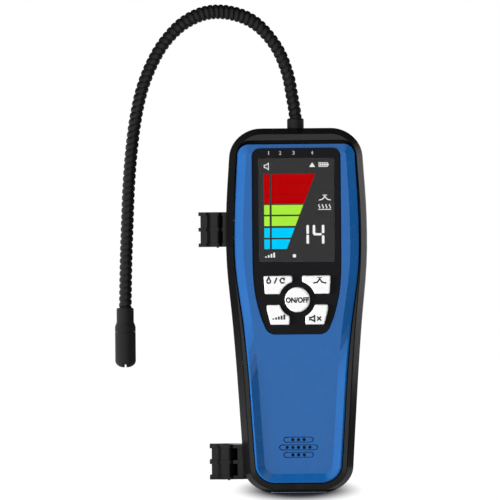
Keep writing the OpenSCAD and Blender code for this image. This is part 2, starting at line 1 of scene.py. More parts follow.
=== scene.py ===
"""Looks of the handheld refrigerant leak detector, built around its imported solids.

Sizes are millimetres in the part's own frame: +Z up, -Y towards the user, the origin under the middle of the
foot. Meshes are handed over in metres.
"""

import logging
import math
from dataclasses import dataclass, field
from enum import Enum
from typing import Any, Sequence

import bpy
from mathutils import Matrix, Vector

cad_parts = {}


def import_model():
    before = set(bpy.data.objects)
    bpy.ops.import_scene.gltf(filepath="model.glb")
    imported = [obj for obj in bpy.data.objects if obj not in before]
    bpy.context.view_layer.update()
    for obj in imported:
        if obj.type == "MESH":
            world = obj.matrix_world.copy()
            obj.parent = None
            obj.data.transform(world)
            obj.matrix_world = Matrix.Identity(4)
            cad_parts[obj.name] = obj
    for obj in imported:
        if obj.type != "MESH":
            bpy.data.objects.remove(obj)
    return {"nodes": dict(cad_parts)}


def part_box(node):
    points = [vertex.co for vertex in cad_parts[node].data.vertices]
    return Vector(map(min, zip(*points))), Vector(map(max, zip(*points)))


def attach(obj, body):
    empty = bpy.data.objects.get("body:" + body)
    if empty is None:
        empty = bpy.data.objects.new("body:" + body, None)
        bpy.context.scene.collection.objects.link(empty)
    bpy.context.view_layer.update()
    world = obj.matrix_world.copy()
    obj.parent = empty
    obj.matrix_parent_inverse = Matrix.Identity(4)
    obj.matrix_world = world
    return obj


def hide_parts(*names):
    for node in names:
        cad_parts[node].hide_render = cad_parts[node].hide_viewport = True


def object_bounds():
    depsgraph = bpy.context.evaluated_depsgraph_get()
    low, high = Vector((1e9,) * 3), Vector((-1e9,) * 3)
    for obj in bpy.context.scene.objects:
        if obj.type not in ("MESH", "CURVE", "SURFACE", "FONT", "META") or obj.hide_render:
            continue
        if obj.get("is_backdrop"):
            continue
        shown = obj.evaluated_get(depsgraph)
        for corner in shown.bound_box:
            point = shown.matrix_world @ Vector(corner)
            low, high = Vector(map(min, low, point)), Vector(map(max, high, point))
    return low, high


LOG = logging.getLogger("leak_detector")
MM = 0.001

Flat = tuple[float, float]
Place = tuple[float, float, float]
Colour = tuple[float, float, float, float]
Socket = bpy.types.NodeSocket
Mesh = bpy.types.Mesh


def srgb(*screen: float) -> Colour:
    """Turns a colour as a screen shows it, from 0 to 255, into the linear colour that a shader takes."""
    parts = [value / 255 for value in screen]
    return *(p / 12.92 if p <= 0.04045 else ((p + 0.055) / 1.055) ** 2.4 for p in parts), 1.0


def grey(level: float) -> Colour:
    """Gives a linear grey, from 0 to 1."""
    return level, level, level, 1.0


def shade(colour: Colour, share: float) -> Colour:
    """Multiplies the light of a linear colour by a share."""
    return *(value * share for value in colour[:3]), colour[3]


def smooth_step(low: float, high: float, value: float) -> float:
    """Rises smoothly from 0, where the value is low, to 1, where it is high."""
    t = min(1.0, max(0.0, (value - low) / (high - low)))
    return t * t * (3 - 2 * t)


def put(target: Any, **values: Any) -> Any:
    """Sets properties of one of Blender's things.

    Args:
        target: What has the properties.
        values: What each is set to.

    Returns:
        The target.
    """
    for key, value in values.items():
        setattr(target, key, value)
    return target


def show(name: str, data: bpy.types.ID, **values: Any) -> bpy.types.Object:
    """Puts an object into the scene.

    Args:
        name: Its name.
        data: Its mesh, curve, lamp or camera.
        values: Its properties.

    Returns:
        The object.
    """
    thing = put(bpy.data.objects.new(name, data), **values)
    bpy.context.scene.collection.objects.link(thing)
    return thing


class NodeSheet:
    """The node tree of a material or the world, with short calls for what the finishes share."""

    def __init__(self, owner: bpy.types.ID, shader: str = "BSDF_PRINCIPLED") -> None:
        """Starts with the shader that Blender has put in.

        Args:
            owner: The material or world.
            shader: Blender's name of its shader.
        """
        owner.use_nodes = True
        self.owner = owner
        self.tree = owner.node_tree
        self.shader = next(node for node in self.tree.nodes if node.type == shader)
        self.place = self.node("ShaderNodeTexCoord", "Object", {})

    def plug(self, socket: Socket, value: Any) -> None:
        """Gives an input a value.

        Args:
            socket: The input.
            value: A plain value, or the output of a node.
        """
        if isinstance(value, Socket):
            self.tree.links.new(value, socket)
        else:
            socket.default_value = value

    def node(self, kind: str, output: str, inputs: dict[str | int, Any], **settings: Any) -> Socket:
        """Adds a node.

        Args:
            kind: Blender's name of the node.
            output: Name of the output that is wanted.
            inputs: Values or outputs of other nodes, by the name or number of the input.
            settings: Properties of the node.

        Returns:
            The output.
        """
        node = put(self.tree.nodes.new(kind), **settings)
        for key, value in inputs.items():
            self.plug(node.inputs[key], value)
        return node.outputs[output]

    def surface(self, **values: Any) -> None:
        """Gives the shader's sockets, named with _ for a space, their values."""
        for key, value in values.items():
            self.plug(self.shader.inputs[key.replace("_", " ")], value)

    def noise(self, size: float, detail: float = 2, stretch: Place = (1, 1, 1)) -> Socket:
        """Gives noise in the piece's own place, with blotches of a size in millimetres times the stretch."""
        place = self.node("ShaderNodeMapping", "Vector",
                          {"Vector": self.place, "Scale": [1 / s for s in stretch]})
        return self.node("ShaderNodeTexNoise", "Fac",
                         {"Vector": place, "Scale": 1 / (size * MM), "Detail": detail})

    def span(self, source: Socket, low: float, high: float, start: float = 0.3, end: float = 0.7,
             **settings: Any) -> Socket:
        """Stretches a value so that it gives low at its start and high at its end, and holds it there."""
        ends = {"From Min": start, "From Max": end, "To Min": low, "To Max": high}
        return self.node("ShaderNodeMapRange", "Result", {"Value": source, **ends}, **settings)

    def ramp(self, source: Socket, stops: Sequence[tuple[float, Colour]], change: str = "LINEAR") -> Socket:
        """Turns a value into colours.

        Args:
            source: Value from 0 to 1.
            stops: Places and colours along it, from low to high.
            change: Blender's name of how one colour turns into the next.

        Returns:
            The colour.
        """
        colour = self.node("ShaderNodeValToRGB", "Color", {"Fac": source})
        bar = put(colour.node.color_ramp, interpolation=change)
        while len(bar.elements) < len(stops):
            bar.elements.new(1.0)
        for element, (where, tone) in zip(bar.elements, stops):
            put(element, position=where, color=tone)
        return colour

    def tones(self, noise: Socket, dark: Colour, pale: Colour) -> Socket:
        """Mottles between two colours by noise."""
        return self.ramp(noise, [(0.3, dark), (0.7, pale)])

    def calc(self, how: str, first: Socket, second: Socket) -> Socket:
        """Joins two values by one of Blender's operations."""
        return self.node("ShaderNodeMath", "Value", {0: first, 1: second}, operation=how)

    def mix(self, share: Socket, first: Any, second: Any) -> Socket:
        """Mixes two colours by a share."""
        return self.node("ShaderNodeMix", "Result", {"Factor": share, "A": first, "B": second},
                         data_type="RGBA")

    def emboss(self, height: Socket, depth: float, strength: float = 0.5) -> None:
        """Raises the surface by a height, of which 1 stands for a depth in millimetres."""
        relief = {"Strength": strength, "Distance": depth * MM, "Height": height}
        self.surface(Normal=self.node("ShaderNodeBump", "Normal", relief))

    def open_share(self, reach: float) -> Socket:
        """Gives how open the surface is to its surroundings, up to a distance in millimetres."""
        return self.node("ShaderNodeAmbientOcclusion", "AO", {"Distance": reach * MM}, samples=8)

    def along(self, axis: str, low: float, high: float) -> Socket:
        """Gives the place along an axis as a share of the way from low to high, in millimetres."""
        place = self.node("ShaderNodeSeparateXYZ", axis, {"Vector": self.place})
        return self.span(place, 0, 1, low * MM, high * MM)


@dataclass(frozen=True)
class Finish:
    """What every finish shares: a name, the name of a slot, and one material."""

    name: str
    slot: str

    def material(self) -> bpy.types.Material:
        """Gives the material, which is made when it is first asked for.

        Returns:
            The material.
        """
        known = bpy.data.materials.get(self.name)
        if known:
            return known
        sheet = NodeSheet(bpy.data.materials.new(self.name))
        self.paint(sheet)
        return sheet.owner

    def paint(self, sheet: NodeSheet) -> None:
        """Fills the material's nodes."""
        raise NotImplementedError


@dataclass(frozen=True)
class MouldedPlastic(Finish):
    """Moulded plastic or rubber with a spark-eroded grain, a faint mottle, and gloss dimmed in grooves as
    painted shade.
    """

    colour: Colour
    roughness: float = 0.42
    uneven: float = 0.06
    grain: float = 0.4
    relief: float = 0.012
    mottle: float = 0.06
    mottle_size: float = 14.0
    reflection: float = 0.5
    groove_shade_reach: float = 0.0
    open_span: Flat = (0.3, 0.85)
    wear_share: float = 0.35

    def paint(self, sheet: NodeSheet) -> None:
        """Mottles the colour, varies the gloss, raises the grain and dims the gloss in grooves by how hidden
        they are, which is painted shade.

        Args:
            sheet: The material's nodes.
        """
        cloud = sheet.noise(self.mottle_size, detail=3)
        wear = sheet.noise(self.mottle_size * self.wear_share, detail=4)
        dark, pale = shade(self.colour, 1 - self.mottle), shade(self.colour, 1 + self.mottle)
        sheet.surface(
            Base_Color=sheet.tones(cloud, dark, pale),
            Roughness=sheet.span(wear, self.roughness - self.uneven, self.roughness + self.uneven),
            Specular_IOR_Level=self.reflection)
        # Painted shade: where ambient occlusion finds the surface hidden, its gloss fades, so grooves and
        # recesses look darker.
        if self.groove_shade_reach:
            groove_shaded_shine = sheet.span(sheet.open_share(self.groove_shade_reach), 0.0, self.reflection, *self.open_span)
            sheet.surface(Specular_IOR_Level=groove_shaded_shine)
        sheet.emboss(sheet.noise(self.grain), self.relief)


@dataclass(frozen=True)
class PlatedMetal(Finish):
    """Plated or bare metal with fine brush marks."""

    colour: Colour
    roughness: float = 0.28
    mark_size: float = 0.5
    stretch: Place = (1, 1, 12)
    dullest: float = 0.86
    uneven: Flat = (-0.08, 0.1)
    relief: float = 0.004

    def paint(self, sheet: NodeSheet) -> None:
        """Varies the tone and the gloss along the brush marks.

        Args:
            sheet: The material's nodes.
        """
        marks = sheet.noise(self.mark_size, 3, self.stretch)
        sheet.surface(
            Base_Color=sheet.tones(marks, shade(self.colour, self.dullest), self.colour),
            Roughness=sheet.span(marks, *(self.roughness + change for change in self.uneven)),
            Metallic=1.0)
        sheet.emboss(marks, self.relief, strength=0.3)


@dataclass(frozen=True)
class ClearLens(Finish):
    """Clear hard-coated sheet over the display, with faint wipe marks in its gloss."""

    tint: Colour
    index: float = 1.08
    wipe_size: float = 6.0
    stretch: Place = (5, 1, 1)
    haze: float = 0.03

    def paint(self, sheet: NodeSheet) -> None:
        """Lets light through and dulls the wipe marks."""
        wipes = sheet.noise(self.wipe_size, 3, self.stretch)
        sheet.surface(Roughness=sheet.span(wipes, 0.0, self.haze), Base_Color=self.tint,
                      Transmission_Weight=1.0, IOR=self.index)


@dataclass(frozen=True)
class LitPixels(Finish):
    """Lit cells of the display, with the dark grid between them and a slightly uneven backlight."""

    colour: Colour
    dimmest: float = 0.86
    pitch: float = 0.24
    waves_per_turn: float = 20.0
    grid_share: float = 0.6
    uneven: Flat = (0.95, 1.0)
    uneven_size: float = 18.0
    unlit: float = 0.05

    def paint(self, sheet: NodeSheet) -> None:
        """Lights the cells through the grid.

        Args:
            sheet: The material's nodes.
        """
        wave = {"Vector": sheet.place, "Scale": math.tau / (self.waves_per_turn * self.pitch * MM)}
        lines = [sheet.node("ShaderNodeTexWave", "Fac", wave, wave_type="BANDS", bands_direction=way)
                 for way in "XZ"]
        grid = sheet.span(sheet.calc("MAXIMUM", *lines), self.dimmest, 1.0, 0.0, self.grid_share)
        level = sheet.calc("MULTIPLY", grid, sheet.span(sheet.noise(self.uneven_size), *self.uneven))
        lit, base = (sheet.ramp(level, [(0.0, grey(0.0)), (1.0, shade(self.colour, share))])
                     for share in (1.0, self.unlit))
        sheet.surface(Emission_Color=lit, Base_Color=base, Emission_Strength=1.0, Roughness=0.6,
                      Specular_IOR_Level=0.0)


@dataclass(frozen=True)
class PrintedInk(Finish):
    """Screen-printed ink with a dry surface, slightly thin where the mesh of the screen was."""

    colour: Colour
    roughness: float = 0.5
    uneven: float = 0.08
    thinnest: float = 0.85
    mesh_size: float = 0.25
    relief: float = 0.004

    def paint(self, sheet: NodeSheet) -> None:
        """Mottles the ink.

        Args:
            sheet: The material's nodes.
        """
        specks = sheet.noise(self.mesh_size)
        sheet.surface(
            Base_Color=sheet.tones(specks, shade(self.colour, self.thinnest), self.colour),
            Roughness=sheet.span(specks, self.roughness - self.uneven, self.roughness + self.uneven))
        sheet.emboss(specks, self.relief, strength=0.3)


@dataclass(frozen=True)
class CircuitBoard(Finish):
    """Green solder mask over copper tracks, with dark parts standing on its back."""

    mask: Colour
    track: Colour
    parts: Colour
    parts_from: float
    cell: float = 9.0
    dim: float = 0.8
    edge: float = 0.02
    gloss: Flat = (0.3, 0.45)

    def paint(self, sheet: NodeSheet) -> None:
        """Draws tracks under the mask and darkens what stands behind the board.

        Args:
            sheet: The material's nodes.
        """
        turned = sheet.node("ShaderNodeMapping", "Vector",
                            {"Vector": sheet.place, "Rotation": (math.pi / 2, 0, 0)})
        cells = sheet.node("ShaderNodeTexBrick", "Color", {
            "Vector": turned, "Scale": 1 / (self.cell * MM), "Color1": self.mask,
            "Color2": shade(self.mask, self.dim), "Mortar": self.track})
        behind = sheet.along("Y", self.parts_from, self.parts_from + self.edge)
        sheet.surface(Base_Color=sheet.mix(behind, cells, self.parts),
                      Roughness=sheet.span(sheet.noise(size=2, detail=3), *self.gloss))


@dataclass(frozen=True)
class CellJacket(Finish):
    """Printed jacket of a dry cell, with bare metal at its ends."""

    jacket: Colour
    band: Colour
    metal: Colour
    ends: Flat
    button_up: bool
    gloss: Flat = (0.26, 0.38)

    def paint(self, sheet: NodeSheet) -> None:
        """Colours the cell by its height and makes its ends metal.

        Args:
            sheet: The material's nodes.
        """
        share = sheet.along("Z", *self.ends)
        lower, change, upper = (0.025, 0.7, 0.945) if self.button_up else (0.055, 0.3, 0.975)
        first, second = (self.jacket, self.band) if self.button_up else (self.band, self.jacket)
        tones = [(0.0, self.metal), (lower, first), (change, second), (upper, self.metal)]
        bare = [(0.0, grey(1.0)), (lower, grey(0.0)), (upper, grey(1.0))]
        sheet.surface(Base_Color=sheet.ramp(share, tones, "CONSTANT"),
                      Metallic=sheet.ramp(share, bare, "CONSTANT"),
                      Roughness=sheet.span(sheet.noise(size=3, detail=3), *self.gloss))


class Finishes:
    """Every finish of the part, by what it is on."""

    # The case, the cover and the arm dim their gloss in grooves, by ambient occlusion, as painted shade.
    case = MouldedPlastic("case_plastic", "case_black", srgb(14, 14, 15), roughness=0.24, uneven=0.05,
                          reflection=0.42, groove_shade_reach=4.0)
    cover = MouldedPlastic("cover_plastic", "cover_blue", srgb(12, 89, 158), roughness=0.25, uneven=0.05,
                           mottle=0.03, groove_shade_reach=1.2)
    overlay = MouldedPlastic("overlay_film", "panel_black", srgb(22, 22, 24), roughness=0.36, uneven=0.04,
                             grain=0.25, relief=0.004, mottle=0.05, reflection=0.06)
    lens = ClearLens("lens_sheet", "window_clear", grey(0.985))
    module = MouldedPlastic("module_body", "module_dark", srgb(30, 31, 33), roughness=0.45)
    key = MouldedPlastic("key_plastic", "key_white", srgb(243, 243, 243), roughness=0.38, uneven=0.05,
                         grain=0.3, relief=0.005, mottle=0.012)
    mat = MouldedPlastic("mat_rubber", "mat_rubber", srgb(38, 38, 40), roughness=0.7, uneven=0.05, grain=0.2)
    switch = MouldedPlastic("switch_plastic", "switch_grey", srgb(170, 170, 165), roughness=0.45)
    sounder = MouldedPlastic("sounder_plastic", "module_dark", srgb(22, 22, 23), roughness=0.5)
    collar = MouldedPlastic("collar_plastic", "collar_black", srgb(28, 28, 29), roughness=0.4, uneven=0.05,
                            reflection=0.15)
    neck = MouldedPlastic("neck_coating", "neck_black", srgb(17, 17, 18), uneven=0.08, grain=0.3, relief=0.02,
                          mottle=0.15, mottle_size=5.0, reflection=0.3, groove_shade_reach=1.2)
    tip = MouldedPlastic("tip_plastic", "tip_black", srgb(32, 32, 33), roughness=0.45, grain=0.3,
                         reflection=0.1)
    clip = MouldedPlastic("clip_plastic", "clip_black", srgb(13, 13, 13), roughness=0.22, uneven=0.05,
                          reflection=0.35)
    screw = PlatedMetal("screw_plating", "screw_steel", srgb(196, 197, 200))
    contact = PlatedMetal("contact_plating", "contact_steel", srgb(206, 206, 202), roughness=0.22)
    sensor = PlatedMetal("sensor_can", "sensor_metal", srgb(198, 190, 172), roughness=0.34)
    board = CircuitBoard("board_mask", "board_green", mask=srgb(22, 92, 52), track=srgb(58, 128, 74),
                         parts=srgb(28, 28, 30), parts_from=-6.15)
    dark_print = PrintedInk("key_print", "module_dark", srgb(14, 14, 15))
    pale_print = PrintedInk("overlay_print", "key_white", srgb(206, 206, 208))
    backlight = LitPixels("screen_dark", "module_dark", srgb(53, 53, 53), dimmest=0.92)
    white_cells = LitPixels("screen_white", "key_white", srgb(244, 244, 244))
    dim_cells = LitPixels("screen_dim", "module_dark", srgb(104, 0, 2))


def shares(steps: int) -> list[float]:
    """Gives the ends of equal steps from 0 to 1."""
    return [k / steps for k in range(steps + 1)]


def neighbours(loop: Sequence[Any]) -> list[tuple[Any, Any]]:
    """Pairs each item of a closed loop with the one after it."""
    return list(zip(loop, [*loop[1:], loop[0]]))


def winding(outline: Sequence[Flat]) -> float:
    """Gives twice the area of an outline, above 0 where it turns from +X towards +Z."""
    return sum(a[0] * b[1] - b[0] * a[1] for a, b in neighbours(outline))


def arc(centre: Flat, radius: float, start: float, end: float, steps: int = 16) -> list[Flat]:
    """Gives points along an arc between two angles in degrees, from +X towards +Z."""
    angles = [math.radians(start + (end - start) * share) for share in shares(steps)]
    return [(centre[0] + radius * math.cos(a), centre[1] + radius * math.sin(a)) for a in angles]


def offset_path(path: Sequence[Flat], by: float, closed: bool, sharpest: float = 0.3) -> list[Flat]:
    """Moves a line to its left by a distance, with mitred corners.

    Args:
        path: Points of the line.
        by: Distance to the left, or to the right where it is negative.
        closed: Whether the line's end meets its start.
        sharpest: Least cosine of half a corner's turn that the mitre follows.

    Returns:
        The moved points.
    """
    points = [Vector(p) for p in path]
    count = len(points)
    moved = []
    for k, point in enumerate(points):
        before = points[k - 1] if k or closed else point
        after = points[(k + 1) % count] if k < count - 1 or closed else point
        first = (point - before).normalized() if before != point else (after - point).normalized()
        second = (after - point).normalized() if after != point else first
        middle = (first + second).normalized()
        reach = by / max(sharpest, middle.dot(first))
        moved.append((point.x - middle.y * reach, point.y + middle.x * reach))
    return moved


def soften(outline: Sequence[Flat], radius: float, least: float = 20.0, steps: int = 6) -> list[Flat]:
    """Rounds the corners of a closed outline.

    Args:
        outline: Its corners.
        radius: Radius of the rounding.
        least: Turn in degrees from which a corner is rounded.
        steps: Number of chords of a rounded corner.

    Returns:
        The rounded outline.
    """
    points = [Vector(p) for p in outline]
    soft = []
    for k, point in enumerate(points):
        first, second = point - points[k - 1], points[(k + 1) % len(points)] - point
        turn = first.angle(second)
        if math.degrees(turn) < least:
            soft.append(tuple(point))
            continue
        reach = radius * math.tan(turn / 2)
        start, end = point - first.normalized() * reach, point + second.normalized() * reach
        for share in shares(steps):
            soft.append(tuple(start.lerp(point, share).lerp(point.lerp(end, share), share)))
    return soft


def mesh_of(name: str, places: Sequence[Sequence[float]], faces: Sequence[Sequence[int]]) -> Mesh:
    """Makes a mesh.

    Args:
        name: Its name.
        places: Its corners, in millimetres.
        faces: Numbers of the corners of each face.

    Returns:
        The mesh, in metres.
    """
    mesh = bpy.data.meshes.new(name)
    mesh.from_pydata([[value * MM for value in place] for place in places], [], faces)
    mesh.validate()
    mesh.update()
    return mesh


def tube_faces(rings: int, sides: int, start: int = 0, turned: bool = False) -> list[list[int]]:
    """Joins rings of corners into a closed skin.

    Args:
        rings: Number of rings.
        sides: Number of corners of a ring.
        start: Number of the first corner.
        turned: Whether the faces look to the other side.

    Returns:
        The faces.
    """
    last = start + (rings - 1) * sides
    faces = [[start + k for k in range(sides)], [last + k for k in reversed(range(sides))]]
    for ring in range(start, last, sides):
        faces += [[ring + a, ring + sides + a, ring + sides + b, ring + b]
                  for a, b in neighbours(range(sides))]
    return [[face[0], *face[:0:-1]] for face in faces] if turned else faces


def stacked(name: str, stacks: Sequence[Sequence[tuple[Sequence[Flat], float]]]) -> Mesh:
    """Joins outlines at rising depths into closed solids.

    Args:
        name: Name of the mesh.
        stacks: For each solid its outlines with their depths along Y, from the front to the back.

    Returns:
        The mesh, in metres.
    """
    places, faces = [], []
    for stack in stacks:
        faces += tube_faces(len(stack), len(stack[0][0]), len(places))
        places += [(x, y, z) for outline, y in stack for x, z in outline]
    return mesh_of(name, places, faces)


def lettering(name: str, text: str, size: Flat, at: Flat, depths: Flat, weight: float = 0.0) -> Mesh:
    """Makes plain letters or numbers as thin closed plates.

    Args:
        name: Name of the mesh.
        text: What they say.
        size: Width and height of the whole.
        at: Middle of the whole as X and Z.
        depths: Depth of the plates' backs and of their fronts along Y.
        weight: How much bolder the strokes are, as a share of the height.

    Returns:
        The mesh, in metres.
    """
    curve = put(bpy.data.curves.new(name, "FONT"), body=text, resolution_u=4, extrude=0.5, offset=weight)
    holder = show(name, curve)
    bpy.context.view_layer.update()
    mesh = bpy.data.meshes.new_from_object(holder.evaluated_get(bpy.context.evaluated_depsgraph_get()))
    bpy.data.objects.remove(holder)
    bpy.data.curves.remove(curve)
    low, high = ([end(v.co[k] for v in mesh.vertices) for k in range(3)] for end in (min, max))
    back, front = depths
    for vertex in mesh.vertices:
        across, up, out = ((vertex.co[k] - low[k]) / (high[k] - low[k]) for k in range(3))
        x, z = at[0] + (across - 0.5) * size[0], at[1] + (up - 0.5) * size[1]
        vertex.co = Vector((x, back + (front - back) * out, z)) * MM
    mesh.name = name
    mesh.update()
    return mesh


class Artwork:
    """Flat shapes in X and Z, from an origin that can be moved, which become one piece of thin plates."""

    def __init__(self, origin: Flat = (0.0, 0.0)) -> None:
        """Starts with nothing drawn.

        Args:
            origin: Where the next shapes are drawn from.
        """
        self.origin = origin
        self.points: list[Flat] = []
        self.faces: list[list[int]] = []
        self.loops: list[list[int]] = []

    def keep(self, outline: Sequence[Flat]) -> list[int]:
        """Stores points and gives their numbers."""
        self.points += [(self.origin[0] + x, self.origin[1] + z) for x, z in outline]
        return list(range(len(self.points) - len(outline), len(self.points)))

    def polygon(self, outline: Sequence[Flat]) -> "Artwork":
        """Draws a filled outline.

        Args:
            outline: Its corners, in either direction.

        Returns:
            The artwork.
        """
        numbers = self.keep(outline if winding(outline) > 0 else outline[::-1])
        self.faces.append(numbers)
        self.loops.append(numbers)
        return self

    def box(self, x0: float, z0: float, x1: float, z1: float) -> "Artwork":
        """Draws a filled rectangle from one corner to the other."""
        return self.polygon([(x0, z0), (x1, z0), (x1, z1), (x0, z1)])

    def stairs(self, count: int, pitch: float, width: float, first: float, rise: float = 0.0) -> "Artwork":
        """Draws a row of bars to the right of the origin.

        Args:
            count: Number of bars.
            pitch: Distance from one bar to the next.
            width: Width of a bar.
            first: Height of the first bar.
            rise: How much taller each bar is than the one before.

        Returns:
            The artwork.
        """
        for k in range(count):
            self.box(pitch * k, 0, pitch * k + width, first + rise * k)
        return self

    def stroke(self, path: Sequence[Flat], width: float, closed: bool = False) -> "Artwork":
        """Draws a line of one width with mitred corners.

        Args:
            path: Points of the line.
            width: Width of the line.
            closed: Whether its end meets its start.

        Returns:
            The artwork.
        """
        left, right = (offset_path(path, side * width / 2, closed) for side in (1, -1))
        if not closed:
            return self.polygon([*left, *reversed(right)])
        outer, inner = (right, left) if winding(path) > 0 else (left[::-1], right[::-1])
        rim, hole = self.keep(outer), self.keep(inner)
        self.faces += [[a, b, d, c] for (a, b), (c, d) in zip(neighbours(rim), neighbours(hole))]
        self.loops += [rim, hole[::-1]]
        return self

    def raised(self, name: str, back: float, front: float) -> Mesh:
        """Turns the shapes into closed plates.

        Args:
            name: Name of the mesh.
            back: Depth of the plates' backs along Y.
            front: Depth of their fronts.

        Returns:
            The mesh, in metres.
        """
        count = len(self.points)
        places = [(x, y, z) for y in (front, back) for x, z in self.points]
        faces = self.faces + [[k + count for k in reversed(face)] for face in self.faces]
        for loop in self.loops:
            faces += [[b, a, a + count, b + count] for a, b in neighbours(loop)]
        return mesh_of(name, places, faces)


class Edges(Enum):
    """How the edges of a solid are dressed."""

    SCULPTED = "facets shaded smooth, creases kept"
    EASED = "sharp edges eased by a small round"


@dataclass
class Assembly:
    """What every sub-assembly shares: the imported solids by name, and the names of its own pieces."""

    nodes: dict[str, bpy.types.Object]
    names: list[str] = field(default_factory=list)
    weld: float = 0.005
    flat_turn: float = 0.5
    round_steps: int = 2

    def dress(self, node: str, finish: Finish, edges: Edges = Edges.EASED, ease: float = 0.2,
              crease: float = 25.0) -> None:
        """Gives a solid its finish and its edges.

        Args:
            node: Name of the solid.
            finish: Its finish.
            edges: How its edges are dressed.
            ease: Width of the small round.
            crease: Angle in degrees from which an edge counts as sharp.
        """
        solid, sharp = self.nodes[node], math.radians(crease)
        solid.data.materials.clear()
        solid.data.materials.append(finish.material())
        put(solid.modifiers.new("weld", "WELD"), merge_threshold=self.weld * MM)
        if edges is Edges.EASED:
            put(solid.modifiers.new("flats", "DECIMATE"), decimate_type="DISSOLVE",
                angle_limit=math.radians(self.flat_turn))
            put(solid.modifiers.new("eased", "BEVEL"), width=ease * MM, segments=self.round_steps,
                limit_method="ANGLE", angle_limit=sharp, miter_outer="MITER_ARC")
        else:
            put(solid.modifiers.new("creases", "EDGE_SPLIT"), split_angle=sharp)
        weight = 100 if edges is Edges.EASED else 50
        put(solid.modifiers.new("normals", "WEIGHTED_NORMAL"), weight=weight, keep_sharp=True)
        self.names.append(node)

    def add(self, name: str, mesh: Mesh, finish: Finish, body: str = "housing",
            stands_for: Sequence[str] = (), crease: float = 0.0) -> None:
        """Adds a piece that rides on a body.

        Args:
            name: Name of the piece.
            mesh: Its mesh, in metres.
            finish: Its finish.
            body: Body that it moves with.
            stands_for: Solids that it is shown in place of.
            crease: Angle in degrees from which an edge stays sharp: 0 for all edges, 180 for none.
        """
        mesh.materials.append(finish.material())
        for face in mesh.polygons:
            face.use_smooth = crease > 0
        piece = show(name, mesh)
        if 0 < crease < 180:
            put(piece.modifiers.new("creases", "EDGE_SPLIT"), split_angle=math.radians(crease))
            put(piece.modifiers.new("normals", "WEIGHTED_NORMAL"), weight=100)
        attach(piece, body)
        if stands_for:
            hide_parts(*stands_for)
        self.names.append(name)

    def lay(self, name: str, art: Artwork, depths: Flat, finish: Finish, body: str = "housing") -> None:
        """Adds artwork as a piece, with its back and its front at two depths along Y."""
        self.add(name, art.raised(name, *depths), finish, body)

    def build(self) -> None:
        """Dresses the solids of the sub-assembly and adds its pieces."""
        raise NotImplementedError


@dataclass
class Housing(Assembly):
    """Rear case, front cover, the screws that hold them together and the pad under the foot."""

    case_crease: float = 21.0
    cover_crease: float = 12.0
    screw_ease: float = 0.1

    def build(self) -> None:
        """Dresses the shells, their screws and the pad."""
        self.dress("rear_case", Finishes.case, Edges.SCULPTED, crease=self.case_crease)
        self.dress("front_cover", Finishes.cover, Edges.SCULPTED, crease=self.cover_crease)
        self.dress("case_screws", Finishes.screw, ease=self.screw_ease)
        self.dress("foot_pad", Finishes.mat)


class Level(Enum):
    """Colours of the level bars, from much gas to none."""

    HIGH = srgb(182, 0, 2)
    MIDDLE = srgb(170, 238, 62)
    LOW = srgb(0, 204, 255)


